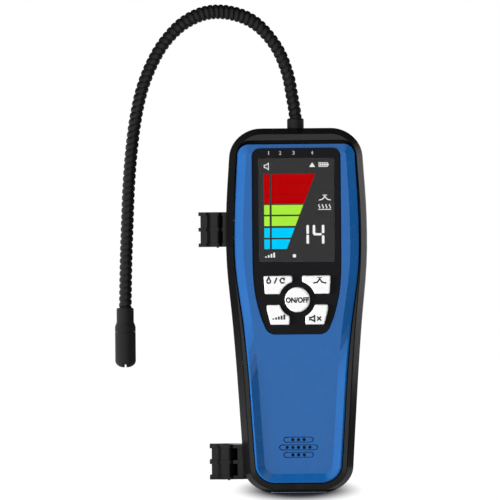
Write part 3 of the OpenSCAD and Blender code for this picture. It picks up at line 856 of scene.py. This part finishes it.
@dataclass
class Display(Assembly):
    """Lens, display module and what the display shows. Each level bar has a colour, a top and a bottom."""

    glass_front: float = -14.6
    ground_depth: float = 0.02
    ground_inset: float = 0.3
    print_depth: float = 0.05
    rows: tuple[tuple[Level, float, float], ...] = (
        (Level.HIGH, 175.1, 170.3), (Level.HIGH, 170.0, 164.2), (Level.HIGH, 163.9, 158.8),
        (Level.MIDDLE, 158.2, 152.9), (Level.MIDDLE, 152.0, 146.7),
        (Level.LOW, 145.6, 140.3), (Level.LOW, 139.3, 134.1))
    left_bar: Flat = (-17.75, -14.75)
    bar_start: float = -13.6
    bar_foot: Flat = (-5.45, 134.1)
    bar_lean: float = 0.3833
    line_gap: float = 0.01
    sound_at: Flat = (-17.5, 179.4)
    alarm_at: Flat = (8.8, 178.9)
    battery_at: Flat = (12.5, 179.1)
    peak_at: Flat = (15.6, 161.9)
    heat_at: Flat = (15.4, 157.0)
    range_at: Flat = (-17.4, 129.4)
    stop_at: Flat = (-2.2, 129.4)
    stop_size: float = 1.7
    figures_at: Flat = (6.05, 142.0)
    figure_ends: Flat = (-5.2, 5.1)
    figure_pitch: float = 8.45
    figure_width: float = 1.4
    figure_tip: float = 0.35

    def bar_end(self, z: float) -> float:
        """Gives where the slanted end of the bars is at a height."""
        return self.bar_foot[0] + (z - self.bar_foot[1]) * self.bar_lean

    def bars(self, level: Level) -> Artwork:
        """Draws the bars of one colour.

        Args:
            level: The colour.

        Returns:
            The artwork.
        """
        art = Artwork()
        for colour, top, bottom in self.rows:
            if colour is level:
                art.box(self.left_bar[0], bottom, self.left_bar[1], top)
                art.polygon([(self.bar_start, bottom), (self.bar_end(bottom), bottom),
                             (self.bar_end(top), top), (self.bar_start, top)])
        return art

    def lines(self) -> Artwork:
        """Draws the dim lines between the bars of the highest level.

        Returns:
            The artwork.
        """
        art = Artwork()
        for (_, _, top), (_, bottom, _) in zip(self.rows[:2], self.rows[1:3]):
            for x0, x1 in (self.left_bar, (self.bar_start, self.bar_end(bottom))):
                art.box(x0, bottom + self.line_gap, x1, top - self.line_gap)
        return art

    def signs(self) -> Artwork:
        """Draws the small signs and the two-figure reading.

        Returns:
            The artwork.
        """
        art = Artwork(self.sound_at)
        art.stroke([(0, -0.7), (1, -0.7), (2.3, -1.8), (2.3, 1.8), (1, 0.7), (0, 0.7)], 0.4, closed=True)
        art.origin = self.alarm_at
        art.polygon([(-1.6, 0), (1.6, 0), (0, 2.5)])
        art.origin = self.battery_at
        art.stroke([(0, 0), (4.7, 0), (4.7, 2.1), (0, 2.1)], 0.35, closed=True)
        art.box(4.9, 0.6, 5.4, 1.5)
        art.origin = (self.battery_at[0] + 0.45, self.battery_at[1] + 0.45)
        art.stairs(4, pitch=1.03, width=0.7, first=1.2)
        art.origin = self.peak_at
        art.stroke([(-3.2, -1.2), (-1.2, -0.7), (0, 0.9), (1.2, -0.7), (3.2, -1.2)], 0.5)
        art.box(-1.2, 1.3, 1.2, 1.7)
        art.origin = self.heat_at
        for start in (-2.9, -0.95, 1.0, 2.95):
            art.stroke([(start + 0.35 * math.sin(math.tau * t), 2.2 * t - 0.8) for t in shares(8)], 0.45)
        art.box(-3.5, -1.6, 3.6, -1.2)
        art.origin = self.range_at
        art.stairs(4, pitch=1.5, width=0.9, first=0.6, rise=0.7)
        art.origin = self.stop_at
        art.box(0, 0, self.stop_size, self.stop_size)
        self.figures(art)
        return art

    def figures(self, art: Artwork) -> None:
        """Draws a one and a four in seven-segment strokes.

        Args:
            art: What they are drawn on.
        """
        art.origin = self.figures_at
        half, tip = self.figure_width / 2, self.figure_tip
        low, high = self.figure_ends
        for x, gap in ((0, 0.25), (self.figure_pitch, 0.6)):
            for z0, z1 in ((low, -gap), (gap, high)):
                art.polygon([(x - half, z0 + tip), (x - half + tip, z0), (x + half - tip, z0),
                             (x + half, z0 + tip), (x + half, z1 - tip), (x + half - tip, z1),
                             (x - half + tip, z1), (x - half, z1 - tip)])
        art.polygon([(2.75, high - tip), (2.75, 0.3), (3.55, -0.65), (7.35, -0.65), (7.9, 0), (7.35, 0.6),
                     (4.55, 0.6), (4.15, 1.1), (4.15, high - tip), (3.75, high), (3.15, high)])

    def build(self) -> None:
        """Dresses the module and the lens and lays the lit cells on the glass."""
        self.dress("display_module", Finishes.module)
        self.dress("display_window", Finishes.lens, Edges.SCULPTED)
        low, high = (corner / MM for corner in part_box("display_window"))
        inset, front = self.ground_inset, self.glass_front
        ground = Artwork().box(low.x + inset, low.z + inset, high.x - inset, high.z - inset)
        self.lay("screen_ground", ground, (front, front - self.ground_depth), Finishes.backlight)
        depths = front, front - self.print_depth
        for level in Level:
            name = "screen_bars_" + level.name.lower()
            self.lay(name, self.bars(level), depths, LitPixels(name, "window_clear", level.value))
        self.lay("screen_bar_lines", self.lines(), depths, Finishes.dim_cells)
        self.lay("screen_signs", self.signs(), depths, Finishes.white_cells)


@dataclass
class FacePanel(Assembly):
    """Printed overlay round the display and the keys, with its channel numbers and their places along X."""

    ease: float = 0.12
    front: float = -15.7
    ink: float = 0.02
    numbers: tuple[tuple[str, float], ...] = (("1", -15.0), ("2", -8.7), ("3", -1.4), ("4", 8.8))
    numbers_z: float = 186.7
    number_height: float = 2.0
    slim_share: float = 0.2
    wide_share: float = 0.62

    def build(self) -> None:
        """Dresses the overlay and prints its numbers."""
        self.dress("face_panel", Finishes.overlay, ease=self.ease)
        depths = self.front + self.ink, self.front - self.ink
        for text, x in self.numbers:
            name = "channel_number_" + text
            width = self.number_height * (self.slim_share if text == "1" else self.wide_share)
            mesh = lettering(name, text, (width, self.number_height), (x, self.numbers_z), depths)
            self.add(name, mesh, Finishes.pale_print)


@dataclass(frozen=True)
class KeyForm:
    """An outer key at the right of the power key, from that key's middle."""

    corners: tuple[Flat, ...]
    sweep: Flat
    stem: Flat


@dataclass
class Keypad(Assembly):
    """Five keys with their marks, and the mat that carries them."""

    upper: KeyForm = KeyForm(((17.7, 3.2), (18.3, 13.1), (2.8, 13.1)), sweep=(73.9, 18.5), stem=(12.1, 8.4))
    lower: KeyForm = KeyForm(((4.4, -13.6), (14.6, -13.6), (16.7, -5.4), (16.7, -2.8)), sweep=(-16.1, -64.2),
                             stem=(12.7, -7.8))
    middle: float = 106.2
    ring: float = 10.1
    ring_steps: int = 11
    corner: float = 0.9
    rounding: float = 0.7
    rounding_steps: int = 6
    top: float = -17.4
    lip: float = -12.15
    lip_size: Flat = (0.9, 0.8)
    stem_radius: float = 1.8
    stem_end: float = -10.35
    stem_sides: int = 24
    cap_crease: float = 40.0
    power_crease: float = 20.0
    ink: float = 0.04
    line: float = 0.8
    reset_at: Flat = (-11.2, 116.7)
    peak_at: Flat = (12.35, 116.5)
    range_at: Flat = (-13.7, 95.4)
    mute_at: Flat = (9.95, 95.8)
    words_at: Flat = (0.0, 106.0)
    words_size: Flat = (12.9, 3.1)
    words_weight: float = 0.045

    def cap(self, name: str, form: KeyForm, side: int) -> Mesh:
        """Moulds an outer key with a rounded top edge, a lip behind the mat and a stem.

        Args:
            name: Name of the mesh.
            form: Outline and stem of the key.
            side: 1 at the right of the power key, -1 at its left.

        Returns:
            The mesh, in metres.
        """
        sharp = [*form.corners, *arc((0, 0), self.ring, *form.sweep, self.ring_steps)]
        outline = [(side * x, self.middle + z) for x, z in soften(sharp, self.corner)[::side]]
        body = []
        for share in shares(self.rounding_steps):
            turn = math.pi / 2 * (1 - share)
            inset, drop = self.rounding * (1 - math.cos(turn)), self.rounding * (1 - math.sin(turn))
            body.append((offset_path(outline, inset, closed=True), self.top + drop))
        wide, thick = self.lip_size
        rim = offset_path(outline, -wide, closed=True)
        body += [(outline, self.lip), (rim, self.lip), (rim, self.lip + thick)]
        axis, step = (side * form.stem[0], self.middle + form.stem[1]), 360 / self.stem_sides
        peg = arc(axis, self.stem_radius, 0, 360 - step, self.stem_sides - 1)
        return stacked(name, [body, [(peg, self.lip + thick / 2), (peg, self.stem_end)]])

    def reset_mark(self) -> Artwork:
        """Draws a drop, a slash and a turning arrow.

        Returns:
            The artwork.
        """
        art = Artwork(self.reset_at)
        art.stroke([*arc((-4.4, -0.35), 1.0, 150, 390), (-4.4, 1.75)], self.line, closed=True)
        art.stroke([(-1.3, -1.5), (0.1, 1.6)], self.line)
        hub = (3.2, 0)
        art.stroke(arc(hub, 1.3, 63, 325, 24), self.line)
        head = [arc(hub, reach, turn, 180)[0] for reach, turn in ((2.4, 60), (0.2, 60), (1.35, 5))]
        return art.polygon(head)

    def peak_mark(self) -> Artwork:
        """Draws a curve that rises to a point, under a short bar."""
        curve = [(-3.6, -1.3), (-1.3, -0.8), (0, 1.1), (1.3, -0.8), (3.6, -1.3)]
        return Artwork(self.peak_at).stroke(curve, self.line).box(-1.3, 1.5, 1.3, 1.95)

    def range_mark(self) -> Artwork:
        """Draws five bars of rising height."""
        return Artwork(self.range_at).stairs(5, pitch=1.5, width=1.0, first=0.7, rise=0.5)

    def mute_mark(self) -> Artwork:
        """Draws a loudspeaker beside a cross.

        Returns:
            The artwork.
        """
        horn = [(-3.2, -0.6), (-2.2, -0.6), (-0.6, -1.5), (-0.6, 1.5), (-2.2, 0.6), (-3.2, 0.6)]
        hub, reach, half = 1.9, 1.1, self.line / math.sqrt(2)
        arm = [(half, 0), (reach + half / 2, reach - half / 2), (reach - half / 2, reach + half / 2)]
        cross = []
        for across, along in ((1, 0), (0, 1), (-1, 0), (0, -1)):
            cross += [(hub + x * across - z * along, x * along + z * across) for x, z in arm]
        return Artwork(self.mute_at).stroke(horn, self.line, closed=True).polygon(cross)

    def build(self) -> None:
        """Dresses the keys and the mat and prints the marks."""
        self.dress("keypad_mat", Finishes.mat)
        depths = self.top + self.ink, self.top - self.ink
        for key, form, side, art in (
                ("gas", self.upper, -1, self.reset_mark()), ("peak", self.upper, 1, self.peak_mark()),
                ("sens", self.lower, -1, self.range_mark()), ("mute", self.lower, 1, self.mute_mark())):
            cap, body = f"key_cap_{key}", f"{key}_key"
            mesh = self.cap(cap, form, side)
            self.add(cap, mesh, Finishes.key, body, [f"key_{key}"], self.cap_crease)
            self.lay(f"key_mark_{key}", art, depths, Finishes.dark_print, body)
        self.dress("key_power", Finishes.key, Edges.SCULPTED, crease=self.power_crease)
        words = lettering("key_mark_power", "ON/OFF", self.words_size, self.words_at, depths,
                          self.words_weight)
        self.add("key_mark_power", words, Finishes.dark_print, "power_key")


@dataclass
class Arm(Assembly):
    """Self-holding arm with its helical rib, and the collar and nut that hold it."""

    route: tuple[Flat, ...] = (
        (0, 192), (0, 206), (-1.7, 218.1), (-4.5, 232.1), (-10.6, 246.2), (-21.3, 258.4), (-33.9, 264.2),
        (-47.9, 264.8), (-60.9, 259.3), (-71.5, 249), (-79, 236.6), (-84.6, 222.3), (-88.3, 205.8),
        (-90.7, 187.8), (-92.3, 168.8), (-93.2, 149.8), (-94, 130.9), (-94.5, 112.9), (-94.85, 96))
    depth: float = -1.0
    diameter: float = 7.1
    swell: float = 1.1
    swell_from: Flat = (248, 267)
    groove: float = 0.95
    groove_shape: Flat = (2.6, 0.65)
    groove_phase: float = 0.76
    pitch_across: float = 2.7
    pitch_gain: float = 0.78
    first_turn: float = 0.6
    spare_turn: float = 1.0
    sides: int = 30
    rings_per_turn: int = 12
    steps: int = 1800
    look: float = 0.02
    collar_ease: float = 0.25

    def at(self, u: float) -> Vector:
        """Gives a point of the route.

        Args:
            u: Where it is, counted in the route's own points.

        Returns:
            The point as X and Z.
        """
        last = len(self.route) - 1
        i = max(0, min(int(u), last - 1))
        p0, p1, p2, p3 = (Vector(self.route[min(max(k, 0), last)]) for k in (i - 1, i, i + 1, i + 2))
        t = u - i
        return 0.5 * (2 * p1 + (p2 - p0) * t + (2 * p0 - 5 * p1 + 4 * p2 - p3) * t * t
                      + (3 * p1 - p0 - 3 * p2 + p3) * t ** 3)

    def turns(self) -> list[Flat]:
        """Counts the turns of the rib along the route.

        Returns:
            The turns up to each step of the route, with the step's u.
        """
        span = len(self.route) - 1
        table, turn = [(0.0, 0.0)], 0.0
        for k in range(self.steps):
            step = self.at((k + 1) * span / self.steps) - self.at(k * span / self.steps)
            turn += step.length / (self.pitch_across + self.pitch_gain * abs(step.y) / step.length)
            table.append((turn, (k + 1) * span / self.steps))
        return table

    def radius(self, turn: float, share: float, height: float) -> float:
        """Gives the radius of the rib.

        Args:
            turn: Turns along the arm.
            share: Share of a turn round it.
            height: Height above the foot.

        Returns:
            The radius.
        """
        away = abs(((turn - share - self.groove_phase + 0.5) % 1.0) - 0.5) * 2
        flank, crest = self.groove_shape
        crown = 1 - (1 - away) ** flank
        widest = self.diameter + self.swell * smooth_step(*self.swell_from, height)
        return widest / 2 - self.groove * (1 - crown ** crest)

    def hose(self) -> Mesh:
        """Makes the ribbed arm as one closed skin.

        Returns:
            The mesh, in metres.
        """
        table = self.turns()
        rings = int((table[-1][0] - self.first_turn - self.spare_turn) * self.rings_per_turn) + 1
        places, cursor = [], 0
        for ring in range(rings):
            turn = self.first_turn + ring / self.rings_per_turn
            while table[cursor + 1][0] < turn:
                cursor += 1
            (t0, u0), (t1, u1) = table[cursor], table[cursor + 1]
            u = u0 + (u1 - u0) * (turn - t0) / (t1 - t0)
            centre, ahead = self.at(u), self.at(u + self.look) - self.at(u - self.look)
            side = Vector((ahead.y, -ahead.x)).normalized()
            for share in shares(self.sides)[:-1]:
                reach = self.radius(turn, share, centre.y)
                out, back = reach * math.cos(math.tau * share), reach * math.sin(math.tau * share)
                places.append((centre.x + side.x * out, self.depth + back, centre.y + side.y * out))
        return mesh_of("arm_hose", places, tube_faces(rings, self.sides, turned=True))

    def build(self) -> None:
        """Puts the ribbed arm in place and dresses what holds it."""
        self.dress("neck_collar", Finishes.collar, ease=self.collar_ease)
        self.dress("neck_nut", Finishes.screw)
        self.add("arm_hose", self.hose(), Finishes.neck, "housing", ["gooseneck"], crease=180)


@dataclass
class Probe(Assembly):
    """Sleeve, sensor can and cap at the end of the arm."""

    ease: float = 0.06
    crease: float = 50.0
    can_ease: float = 0.1

    def build(self) -> None:
        """Dresses the probe."""
        self.dress("probe_sleeve", Finishes.tip, ease=self.ease, crease=self.crease)
        self.dress("sensor_element", Finishes.sensor, ease=self.can_ease)
        self.dress("sensor_cap", Finishes.tip, ease=self.ease, crease=self.crease)


@dataclass
class ParkingClips(Assembly):
    """Two clips on the left flank that park the probe."""

    ease: float = 0.25
    screw_ease: float = 0.1

    def build(self) -> None:
        """Dresses the clips and their screws."""
        for clip in ("upper_clip", "lower_clip"):
            self.dress(clip, Finishes.clip, ease=self.ease)
        self.dress("clip_screws", Finishes.screw, ease=self.screw_ease)


@dataclass
class Electronics(Assembly):
    """Board, switches and sounder inside the housing."""

    ease: float = 0.1
    sounder_ease: float = 0.3

    def build(self) -> None:
        """Dresses the board and what is on it."""
        self.dress("main_board", Finishes.board, Edges.SCULPTED)
        self.dress("key_switches", Finishes.switch, ease=self.ease)
        self.dress("board_screws", Finishes.screw, ease=self.ease)
        self.dress("buzzer", Finishes.sounder, ease=self.sounder_ease)


@dataclass
class PowerBay(Assembly):
    """Cells, contacts and the door over them."""

    door_ease: float = 0.3
    metal_ease: float = 0.1
    jacket: Colour = srgb(38, 40, 44)
    band: Colour = srgb(176, 128, 74)
    cell_metal: Colour = srgb(205, 205, 202)
    buttons_up: tuple[bool, ...] = (True, False, True)
    wire: float = 0.7
    coils: float = 3.2
    wide: float = 5.0
    narrow: float = 2.6
    rise_span: Flat = (0.06, 0.9)
    gap: float = 0.1
    steps_per_turn: int = 28
    wire_sides: int = 10

    def coil(self, foot: Vector, height: float, up: int) -> list[Vector]:
        """Winds one conical spring from its plate towards the cell.

        Args:
            foot: Where its axis meets the plate.
            height: Length of the spring.
            up: 1 where it rises from the plate and -1 where it hangs from it.

        Returns:
            Its corners, ring by ring.
        """
        total = int(self.coils * self.steps_per_turn)
        path = []
        for t in shares(total):
            reach = self.wide + (self.narrow - self.wide) * t - self.wire / 2
            rise = self.wire / 2 + (height - self.wire) * smooth_step(*self.rise_span, t)
            angle = math.tau * self.coils * t
            path.append(foot + Vector((reach * math.cos(angle), reach * math.sin(angle), up * rise)))
        places = []
        for k, centre in enumerate(path):
            ahead = (path[min(k + 1, total)] - path[max(k - 1, 0)]).normalized()
            side = ahead.cross(Vector((0, 0, 1))).normalized()
            over = side.cross(ahead)
            for angle in (math.tau * j / self.wire_sides for j in range(self.wire_sides)):
                places.append(centre + (side * math.cos(angle) + over * math.sin(angle)) * self.wire / 2)
        return places

    def springs(self, cells: Sequence[tuple[Vector, Vector]], bay: tuple[Vector, Vector]) -> Mesh:
        """Makes the three contact springs between the bay's end walls and the cells.

        Args:
            cells: Lowest and highest corner of each cell.
            bay: Lowest and highest corner of the solid that stands in for the springs.

        Returns:
            The mesh, in metres.
        """
        places, faces = [], []
        for low, high in cells:
            below, above = low.z - bay[0].z, bay[1].z - high.z
            up, plate = (1, bay[0].z) if below > above else (-1, bay[1].z)
            middle = (low + high) / 2
            coil = self.coil(Vector((middle.x, middle.y, plate)), max(below, above) - self.gap, up)
            faces += tube_faces(len(coil) // self.wire_sides, self.wire_sides, len(places))
            places += coil
        return mesh_of("contact_coils", places, faces)

    def build(self) -> None:
        """Dresses the cells, the contacts and the door, and winds the springs."""
        self.dress("battery_door", Finishes.case, ease=self.door_ease)
        self.dress("door_screw", Finishes.screw, ease=self.metal_ease)
        self.dress("battery_plates", Finishes.contact, ease=self.metal_ease)
        cells = []
        for k, button_up in enumerate(self.buttons_up, 1):
            low, high = (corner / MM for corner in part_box(f"battery_cell_{k}"))
            cells.append((low, high))
            finish = CellJacket(f"cell_jacket_{k}", "cell_jacket", self.jacket, self.band, self.cell_metal,
                                (low.z, high.z), button_up)
            self.dress(f"battery_cell_{k}", finish)
        bay = tuple(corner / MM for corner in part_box("battery_springs"))
        coils = self.springs(cells, bay)
        self.add("contact_coils", coils, Finishes.contact, "housing", ["battery_springs"], crease=180)


class Reach(Enum):
    """What a lamp lights, with Blender's name of its tie to the floor."""

    FLOOR = "INCLUDE"
    PART = "EXCLUDE"


@dataclass(frozen=True)
class Lamp:
    """A soft lamp of the studio, with its power in watts."""

    name: str
    at: Place
    target: Place
    size: Flat
    power: float
    reach: Reach

    def hang(self, floor: bpy.types.Object) -> None:
        """Hangs the lamp, so that it lights the floor alone or all but the floor.

        Args:
            floor: The floor of the studio.
        """
        data = put(bpy.data.lights.new(self.name, "AREA"), shape="RECTANGLE", energy=self.power)
        data.size, data.size_y = (side * MM for side in self.size)
        turn = (Vector(self.at) - Vector(self.target)).to_track_quat("Z", "Y")
        lamp = show(self.name, data, location=Vector(self.at) * MM, rotation_euler=turn.to_euler(),
                    visible_glossy=self.reach is Reach.FLOOR)
        tied = bpy.data.collections.new(self.name)
        tied.objects.link(floor)
        lamp.light_linking.receiver_collection = tied
        tied.collection_objects[0].light_linking.link_state = self.reach.value


@dataclass
class Studio:
    """White studio with a soft key light from the left, and the camera.

    The levels say how bright a card is, where 1 is white, at shares of the way up to the tent's top.
    """

    frame_size: float = 275.0
    frame_centre: Flat = (-25.67, 133.66)
    roll: float = 0.5
    subject_depth: float = -8.0
    camera_distance: float = 2200.0
    sensor: float = 36.0
    sight: float = 60000.0
    lamps: tuple[Lamp, ...] = (
        Lamp("key_softbox", (-1418.278, -488.352, 120), (0, 0, 120), (700, 240), 40.0, Reach.PART),
        Lamp("side_lamp", (300, -120, 260), (0, 0, 150), (100, 100), 0.5, Reach.PART),
        Lamp("floor_lamp", (0, 360, 1350), (0, 0, 0), (500, 500), 2.0, Reach.FLOOR))
    ambient: float = 0.1
    bounce: float = 0.74
    tent_sides: Flat = (-140, 110)
    tent_top: float = 400.0
    tent_depths: tuple[float, float, float, float] = (-200, -90, 0, 4000)
    left_place: Place = (-70, -42, 210)
    front_span: Flat = (-750, -330)
    cloth_lift: float = 0.5
    cloth_span: Flat = (-90, 350)
    cloth_levels: tuple[Flat, ...] = ((0, 0.2), (1, 0.2))
    dark_levels: tuple[Flat, ...] = ((0, 0.03), (1, 0.03))
    left_levels: tuple[Flat, ...] = ((0, 0.3), (0.25, 0.03))
    right_levels: tuple[Flat, ...] = ((0, 0.03), (0.1, 0.05), (0.28, 0.7), (0.48, 0.7), (0.62, 0.03))
    floor_size: float = 12000.0
    fibre_size: float = 40.0
    paper_greys: Flat = (0.24, 0.27)
    bounced_grey: float = 0.02
    shadow_centre: float = 24.0
    shadow_size: Flat = (40.0, 138.0)
    shadow_fade: Flat = (0.39, 0.98)

    def camera(self) -> None:
        """Sets the camera level in front of the housing."""
        data = put(bpy.data.cameras.new("front_camera"), sensor_width=self.sensor, sensor_height=self.sensor,
                   lens=self.sensor * self.camera_distance / self.frame_size, clip_end=self.sight * MM)
        x, z = self.frame_centre
        bpy.context.scene.camera = show(
            "front_camera", data, location=Vector((x, self.subject_depth - self.camera_distance, z)) * MM,
            rotation_euler=(math.pi / 2, math.radians(self.roll), 0))

    def surroundings(self) -> None:
        """Makes the world white where it is seen or mirrored, and dim for soft light."""
        sheet = NodeSheet(bpy.data.worlds.new("studio_world"), "BACKGROUND")
        soft = sheet.node("ShaderNodeLightPath", "Is Diffuse Ray", {})
        sheet.surface(Color=grey(1.0), Strength=sheet.span(soft, 1.0, self.ambient, 0.0, 1.0))
        bpy.context.scene.world = sheet.owner

    def panel(self, name: str, places: Sequence[Place], sheet: NodeSheet) -> bpy.types.Object:
        """Adds a flat panel that belongs to the studio.

        Args:
            name: Name of the panel.
            places: Its four corners.
            sheet: Nodes of its material.

        Returns:
            The panel.
        """
        mesh = mesh_of(name, places, [(0, 1, 2, 3)])
        mesh.materials.append(sheet.owner)
        panel = show(name, mesh)
        panel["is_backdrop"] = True
        return panel

    def card(self, name: str, places: Sequence[Place], levels: Sequence[Flat]) -> None:
        """Stands a card beside the part that only its gloss shows.

        Args:
            name: Name of the card.
            places: Its four corners.
            levels: How bright it is.
        """
        sheet = NodeSheet(bpy.data.materials.new(name))
        greys = [(share, grey(level)) for share, level in levels]
        glow = sheet.ramp(sheet.along("Z", 0, self.tent_top), greys)
        sheet.surface(Emission_Color=glow, Emission_Strength=1.0, Base_Color=grey(0.0),
                      Specular_IOR_Level=0.0)
        put(self.panel(name, places, sheet), visible_camera=False, visible_diffuse=False,
            visible_transmission=False, visible_shadow=False)

    def tent(self) -> None:
        """Sets dark cards beside the case, under it and overhead, with a pale one behind its right flank."""
        (left, right), high = self.tent_sides, self.tent_top
        nearest, near, middle, far = self.tent_depths
        beside, start, shoulder = self.left_place
        for name, x, front, back, low, top, levels in (
                ("left_card", beside, start, far, 0, shoulder, self.left_levels),
                ("shoulder_card", left, near, far, shoulder, high, self.dark_levels),
                ("right_card", right, nearest, middle, 0, high, self.dark_levels),
                ("pale_card", right, middle, far, 0, high, self.right_levels)):
            self.card(name, [(x, front, low), (x, back, low), (x, back, top), (x, front, top)], levels)
        for name, z, front, back, levels in (
                ("floor_cloth", self.cloth_lift, *self.cloth_span, self.cloth_levels),
                ("top_card", high, near, far, self.dark_levels),
                ("front_card", high, *self.front_span, self.dark_levels)):
            self.card(name, [(left, front, z), (right, front, z), (right, back, z), (left, back, z)], levels)

    def floor(self) -> bpy.types.Object:
        """Lays a white floor whose glow is cut away in an ellipse round the foot, a painted shadow on top of
        the floor lamp's real shadow, and which is plain white further out.

        Returns:
            The floor.
        """
        sheet = NodeSheet(bpy.data.materials.new("studio_paper"))
        soft = sheet.node("ShaderNodeLightPath", "Is Diffuse Ray", {})
        seen, thrown = sheet.span(soft, 1.0, 0.0, 0.0, 1.0), sheet.span(soft, 0.0, self.bounce, 0.0, 1.0)
        width, length = self.shadow_size
        patch = {"Location": (0, self.shadow_centre * MM, 0), "Scale": (width * MM, length * MM, 1)}
        place = sheet.node("ShaderNodeMapping", "Vector", {"Vector": sheet.place, **patch},
                           vector_type="TEXTURE")
        away = sheet.node("ShaderNodeVectorMath", "Value", {0: place}, operation="LENGTH")
        # Painted shadow: the glow seen by the camera rises from nothing near the foot to full white further
        # out.
        lit = sheet.span(away, 0.0, 1.0, *self.shadow_fade, interpolation_type="SMOOTHSTEP")
        dark, pale = (grey(level) for level in self.paper_greys)
        fibres = sheet.tones(sheet.noise(self.fibre_size, detail=3), dark, pale)
        glow = sheet.calc("ADD", sheet.calc("MULTIPLY", seen, lit), thrown)
        sheet.surface(Emission_Color=grey(1.0), Emission_Strength=glow, Roughness=0.9, Specular_IOR_Level=0.0,
                      Base_Color=sheet.mix(seen, grey(self.bounced_grey), fibres))
        half = self.floor_size / 2
        places = [(-half, -half, 0), (half, -half, 0), (half, half, 0), (-half, half, 0)]
        return self.panel("studio_floor", places, sheet)

    def build(self) -> None:
        """Builds the whole studio."""
        self.camera()
        floor = self.floor()
        for lamp in self.lamps:
            lamp.hang(floor)
        self.surroundings()
        self.tent()
        bpy.context.scene.view_settings.view_transform = "Standard"


def corners(bounds: Any) -> list[list[float]]:
    """Turns a box of two corners into plain lists."""
    return [[float(value) for value in corner] for corner in bounds]


def main() -> None:
    """Dresses the part, sub-assembly by sub-assembly, and sets up the studio."""
    logging.basicConfig(level=logging.INFO, format="%(name)s: %(message)s")
    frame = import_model()
    solid_box = corners(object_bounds())
    Studio().build()
    for kind in (Housing, FacePanel, Display, Keypad, Arm, Probe, ParkingClips, Electronics, PowerBay):
        assembly = kind(frame["nodes"])
        assembly.build()
        for name in assembly.names:
            LOG.info("%s: %s", kind.__name__, name)
    {"cad": solid_box, "visual": corners(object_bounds())}


if __name__ == "__main__":
    main()
